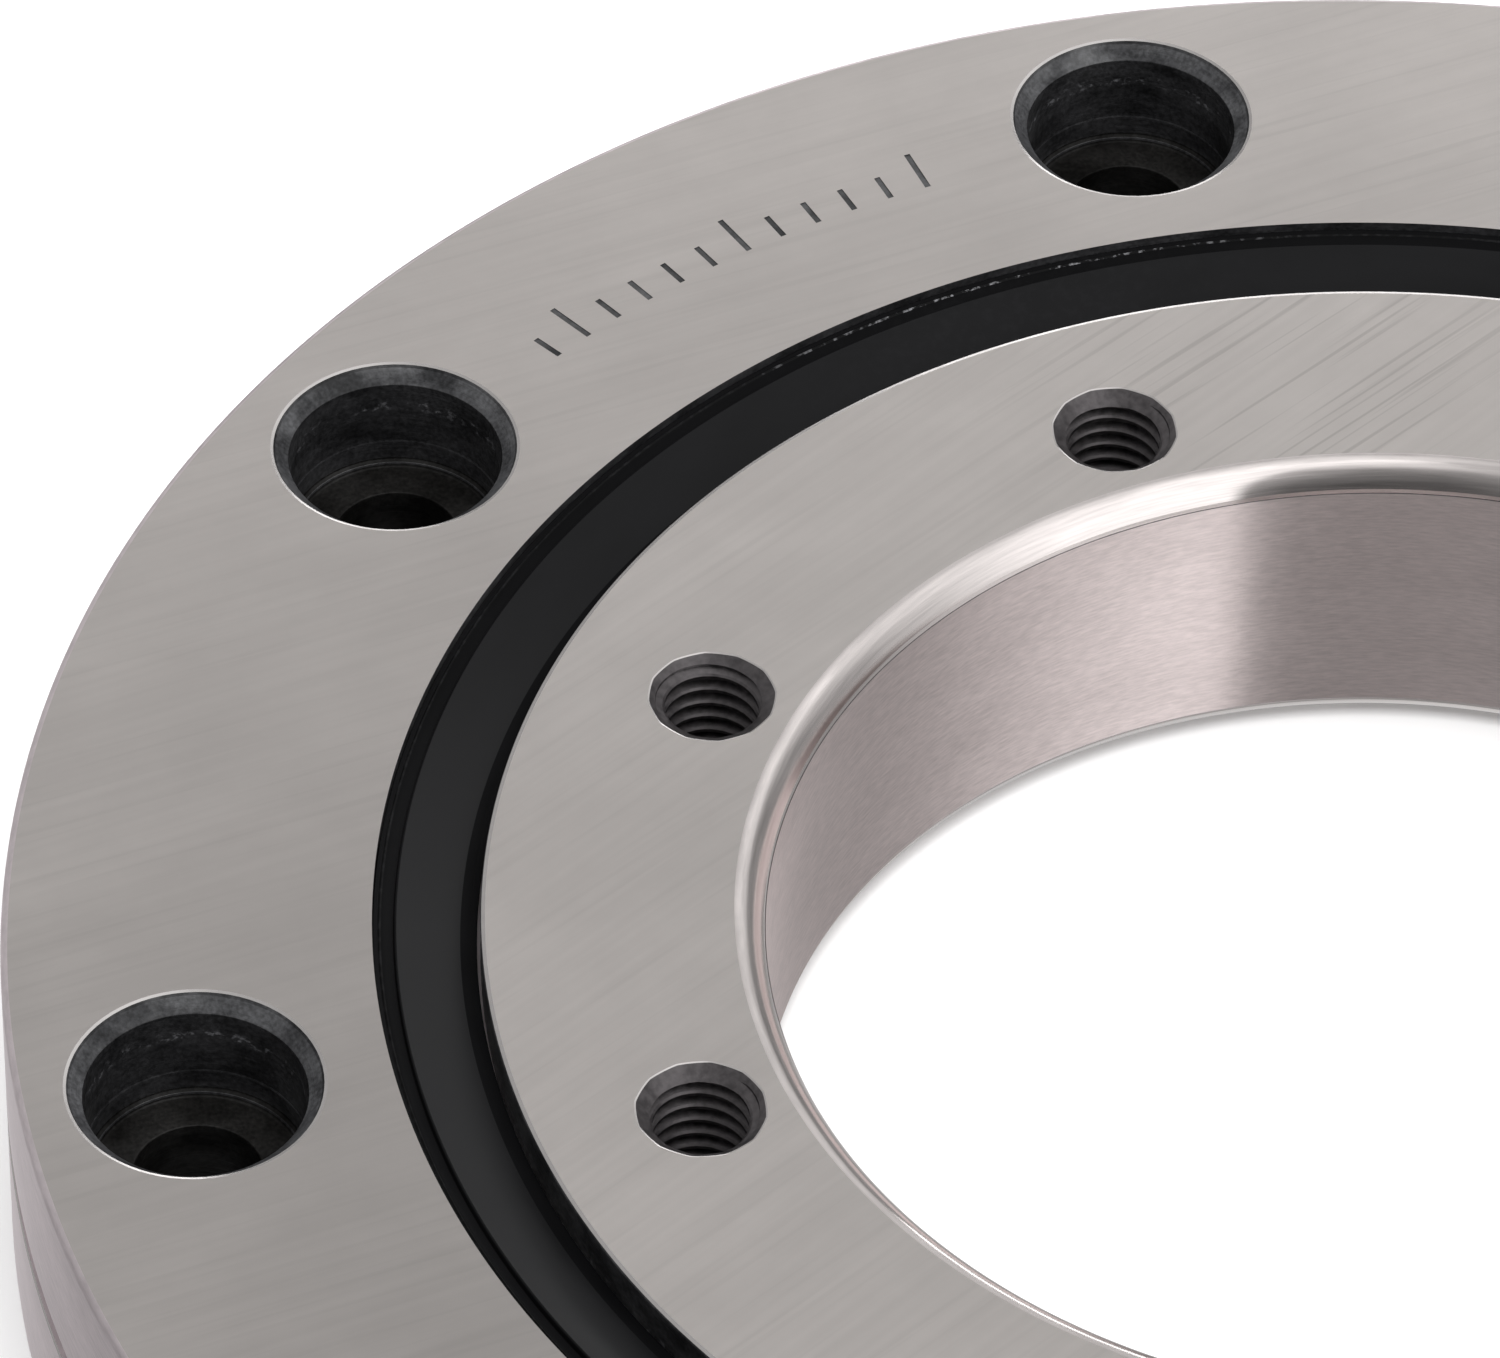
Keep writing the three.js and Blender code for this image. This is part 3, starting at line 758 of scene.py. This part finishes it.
def seal(name, node, flip):
    """Rubber ring: thin outer bead, a sunk line beside it, a face that slopes down inwards to a wiping lip, and
    a rim that sits in the outer ring's groove."""
    # The third rubber paints shade on the wall, the sunk line and the slope down to the lip.
    band, bead, shaded = range(3)
    rim_top = SEAL_BOTTOM + SEAL_RIM_HEIGHT
    wall, lip = 44.2 * MM, 39.8 * MM
    sunk = SEAL_TOP - 0.3 * MM
    rubber = lathe(name, rounded([
        (40.6 * MM, SEAL_BOTTOM, band),
        (SEAL_RIM_RADIUS, SEAL_BOTTOM, band, 0.15 * MM, band),
        (SEAL_RIM_RADIUS, rim_top, band, 0.15 * MM, band),
        (wall, rim_top, shaded),
        (wall, SEAL_TOP, shaded),
        (44.02 * MM, SEAL_TOP - 0.08 * MM, bead),
        (43.95 * MM, SEAL_TOP - 0.02 * MM, bead),
        (43.88 * MM, SEAL_TOP - 0.08 * MM, shaded),
        (43.6 * MM, sunk, shaded),
        (43.36 * MM, sunk, shaded),
        (43.3 * MM, SEAL_TOP, band, 0.08 * MM, shaded),
        (40.5 * MM, SEAL_TOP - 0.9 * MM, shaded, 0.12 * MM, shaded),
        (40.1 * MM, SEAL_TOP - 1.1 * MM, shaded, 0.1 * MM, shaded),
        (lip, SEAL_TOP - 1.2 * MM, shaded, 0.04 * MM, shaded),
        (lip, SEAL_TOP - 1.35 * MM, shaded, 0.04 * MM, shaded),
        (40.3 * MM, SEAL_BOTTOM + 0.3 * MM, band),
    ]), RING_SEGMENTS, [RUBBER, RUBBER_BEAD, RUBBER_SHADED])
    if flip:
        placed(rubber, Matrix.Translation((0, 0, TOP)) @ Matrix.Rotation(math.pi, 4, "X"))
    return finished(rubber, "outer", [node], sharp=40)


# ---------- rollers and spacers ----------

def roller(name):
    """A roller with rounded ends, leaning on its own spin axis."""
    half = ROLLER_LENGTH / 2
    piece = lathe(f"{name}_body", rounded([
        (0, -half, 0),
        (ROLLER_RADIUS, -half, 0, 0.4 * MM, 0),
        (ROLLER_RADIUS, half, 0, 0.4 * MM, 0),
        (0, half, 0),
    ]), ROLLER_SEGMENTS, [LAPPED])
    joint = JOINTS[f"{name}_spin"]
    lean = Vector(joint["axis"]).to_track_quat("Z", "Y").to_matrix().to_4x4()
    placed(piece, Matrix.Translation(joint["pos_m"]) @ lean)
    return finished(piece, name, [name], sharp=40)


def spacer_shape(lean_ahead):
    """A block filling the square channel, hollowed on both sides by its two crossed rollers."""
    half, corner = 3.55 * MM, 2.5 * MM  # of the square with its corners cut off
    outline = [(half, -corner), (half, corner), (corner, half), (-corner, half),
               (-half, corner), (-half, -corner), (-corner, -half), (corner, -half)]
    vertices = [(x, y, side * SPACER_LENGTH / 2) for side in (-1, 1) for x, y in outline]
    count = len(outline)
    faces = [tuple(range(count))[::-1], tuple(range(count, 2 * count))]
    faces += [(k, (k + 1) % count, count + (k + 1) % count, count + k) for k in range(count)]
    block = new_object("spacer", vertices, faces, [0] * len(faces), [PLASTIC])
    channel = Matrix.Translation((PITCH_RADIUS, 0, MIDDLE)) @ Matrix.Rotation(TILT, 4, "Y")
    placed(block, channel @ Matrix.Rotation(math.pi / 2, 4, "X"))
    for side, lean in ((1, lean_ahead), (-1, -lean_ahead)):
        saddle = rod(ROLLER_RADIUS + SADDLE_GAP, -ROLLER_LENGTH, ROLLER_LENGTH, 0, SADDLE_SEGMENTS, [PLASTIC])
        place = Matrix.Rotation(side * STEP_ANGLE, 4, "Z") @ Matrix.Translation((PITCH_RADIUS, 0, MIDDLE))
        placed(saddle, place @ Matrix.Rotation(lean * TILT, 4, "Y"))
        boolean(block, saddle, "DIFFERENCE")
    return block


def roller_train():
    """Rollers and spacers in turn. The spacers are of two shapes, for the two orders of crossed rollers."""
    shapes = [spacer_shape(-1), spacer_shape(1)]
    for i in range(ROLLER_COUNT):
        roller(f"roller_{i + 1:02d}")
        node = f"spacer_{i + 1:02d}"
        piece = copied(shapes[i % 2], Matrix.Rotation((2 * i + 1) * STEP_ANGLE, 4, "Z"))
        piece.name = f"{node}_body"
        bevel = piece.modifiers.new("bevel", "BEVEL")
        bevel.width = 0.12 * MM
        bevel.segments = 2
        finished(piece, "roller_train", [node], sharp=35)
    for shape in shapes:
        bpy.data.objects.remove(shape)


# ---------- stage: floor, lights, camera ----------

def floor():
    """A white floor that lights the bearing but isn't mirrored in its steel."""
    reach = 3.0
    height = -0.03 * MM  # a hair below the bearing, so that the two surfaces don't coincide
    corners = [(x * reach, y * reach, height) for x, y in ((-1, -1), (1, -1), (1, 1), (-1, 1))]
    pale = Finish("floor_white", (0.93, 0.93, 0.93), 0.9, metallic=0.0,
                  Emission_Color=(1, 1, 1, 1), Emission_Strength=0.08)
    plane = new_object("floor", corners, [(0, 1, 2, 3)], [0], [pale.material])
    plane.visible_glossy = False


CENTRE = Vector((0, 0, TOP))
VIEW_AZIMUTH = math.radians(-107.13)  # of the camera, seen from the bearing's axis
VIEW_ELEVATION = 44.82
SOFTBOX_DISTANCE = 0.9


def direction(azimuth, elevation):
    """A unit vector away from the bearing. Azimuth counts from the camera's."""
    a, e = VIEW_AZIMUTH + math.radians(azimuth), math.radians(elevation)
    return Vector((math.cos(a) * math.cos(e), math.sin(a) * math.cos(e), math.sin(e)))


def softbox(name, azimuth, elevation, width, height, watts, mirrored_in_steel=True):
    """A rectangular light aimed at the middle of the upper face. Azimuth counts from the camera's."""
    light = bpy.data.lights.new(name, "AREA")
    light.shape = "RECTANGLE"
    light.size, light.size_y = width, height
    light.energy = watts
    lamp = bpy.data.objects.new(name, light)
    lamp.visible_glossy = mirrored_in_steel
    bpy.context.scene.collection.objects.link(lamp)
    out = direction(azimuth, elevation)
    lamp.location = CENTRE + out * SOFTBOX_DISTANCE
    lamp.rotation_euler = out.to_track_quat("Z", "Y").to_euler()


# Brightness of the studio round the bearing, as (azimuth from the camera's in degrees, radiance). Each layer
# fades in over the one before it between two heights of the view direction, from straight down (-1) to
# straight up (1). The steel mirrors them: turned walls the lower layers, faces and roundings the upper ones.
BELOW = (
    (-180, 0.75), (-120, 0.6), (0, 0.32), (40, 0.42), (80, 0.5), (120, 0.55), (150, 0.7), (180, 0.75),
)
TABLE = (
    (-180, 0.72), (-169, 1.1), (-161, 1.45), (-151, 1.0), (-141, 0.62), (-126, 0.43), (-60, 0.4), (-20, 0.38),
    (0, 0.44), (20, 0.39), (33.5, 0.36), (35.5, 0.84), (50, 0.75), (58, 0.56), (70, 0.36), (80, 0.39),
    (92, 0.29), (105, 0.28), (125, 0.4), (150, 0.58), (180, 0.72),
)
WALLS = (
    (-180, 0.33), (-158, 0.42), (-145, 0.6), (-125, 0.55), (-105, 0.35), (-60, 0.25), (-20, 0.18), (0, 0.09),
    (14, 0.09), (24, 0.12), (31.5, 0.3), (33.5, 1.5), (60, 1.5), (70, 1.2), (80, 0.95), (90, 0.66),
    (100, 0.46), (115, 0.33), (135, 0.27), (155, 0.25), (180, 0.33),
)
CEILING = (
    (-180, 0.45), (-90, 0.5), (-20, 0.4), (0, 0.25), (14, 0.3), (24, 0.45), (32, 0.6), (36, 1.5), (65, 1.5),
    (90, 1.15), (110, 1.0), (140, 0.98), (160, 0.82), (172, 0.6), (180, 0.48),
)
ZENITH = (
    (-180, 0.9), (-160, 0.6), (-20, 0.65), (0, 0.85), (30, 1.1), (60, 1.5), (100, 1.4), (140, 1.15), (180, 0.9),
)
LAYERS = (
    (BELOW, None),
    (TABLE, (-0.95, -0.8)),
    (WALLS, (-0.75, -0.25)),
    (CEILING, (0.25, 0.85)),
    (ZENITH, (0.8, 0.96)),
)
BRIGHTEST = 1.5


def surround():
    """The world, made from the layers."""
    world = bpy.data.worlds.new("studio")
    world.use_nodes = True
    nodes, links = world.node_tree.nodes, world.node_tree.links
    outward = nodes.new("ShaderNodeTexCoord").outputs["Generated"]
    facing = nodes.new("ShaderNodeMapping")
    facing.inputs["Rotation"].default_value.z = -VIEW_AZIMUTH
    azimuth = nodes.new("ShaderNodeTexGradient")
    azimuth.gradient_type = "RADIAL"
    height = nodes.new("ShaderNodeSeparateXYZ")
    links.new(outward, facing.inputs["Vector"])
    links.new(facing.outputs["Vector"], azimuth.inputs["Vector"])
    links.new(outward, height.inputs["Vector"])
    glow = None
    for stops, heights in LAYERS:
        ramp = nodes.new("ShaderNodeValToRGB")
        marks = ramp.color_ramp.elements
        while len(marks) < len(stops):
            marks.new(0.5)
        for mark, (degrees, radiance) in zip(marks, stops):
            mark.position = degrees / 360 + 0.5  # the gradient runs from 0 to 1 over a full turn
            mark.color = (*[radiance / BRIGHTEST] * 3, 1)
        links.new(azimuth.outputs["Fac"], ramp.inputs["Fac"])
        if glow is None:
            glow = ramp.outputs["Color"]
            continue
        above = nodes.new("ShaderNodeMapRange")
        above.interpolation_type = "SMOOTHSTEP"
        above.inputs["From Min"].default_value, above.inputs["From Max"].default_value = heights
        links.new(height.outputs["Z"], above.inputs["Value"])
        blend = nodes.new("ShaderNodeMixRGB")
        links.new(above.outputs["Result"], blend.inputs["Fac"])
        links.new(glow, blend.inputs["Color1"])
        links.new(ramp.outputs["Color"], blend.inputs["Color2"])
        glow = blend.outputs["Color"]
    links.new(glow, nodes["Background"].inputs["Color"])
    nodes["Background"].inputs["Strength"].default_value = BRIGHTEST
    bpy.context.scene.world = world


def lights():
    """The studio, a softbox for the sheen of the faces, a low one for the edges, and one for the floor."""
    surround()
    softbox("back_softbox", 164.8, 36, 0.7, 0.5, watts=0.28)
    softbox("edge_softbox", 181, 13, 0.4, 0.12, watts=0.42)
    softbox("floor_softbox", 0, 85, 0.8, 0.8, watts=9, mirrored_in_steel=False)
    bpy.context.scene.view_settings.view_transform = "Standard"


def camera():
    """The reference view: a long lens that stands 45 degrees above the face and looks past the axis."""
    distance = 0.48549  # from the middle of the upper face
    pan, tilt, roll = math.radians(3.405), math.radians(0.924), math.radians(4.238)
    data = bpy.data.cameras.new("camera")
    data.sensor_width = 36
    data.lens = 273.28
    data.clip_start, data.clip_end = 0.01, 20
    eye = bpy.data.objects.new("camera", data)
    bpy.context.scene.collection.objects.link(eye)
    out = direction(0, VIEW_ELEVATION)
    aimed = out.to_track_quat("Z", "Y").to_matrix()
    for angle, axis in ((pan, "Y"), (tilt, "X"), (roll, "Z")):
        aimed = aimed @ Matrix.Rotation(angle, 3, axis)
    eye.matrix_world = Matrix.Translation(CENTRE + out * distance) @ aimed.to_4x4()
    bpy.context.scene.camera = eye


camera()
lights()
floor()
outer_ring()
filling_plug()
taper_pin()
inner_ring()
seal("seal_upper_rubber", "seal_upper", False)
seal("seal_lower_rubber", "seal_lower", True)
roller_train()
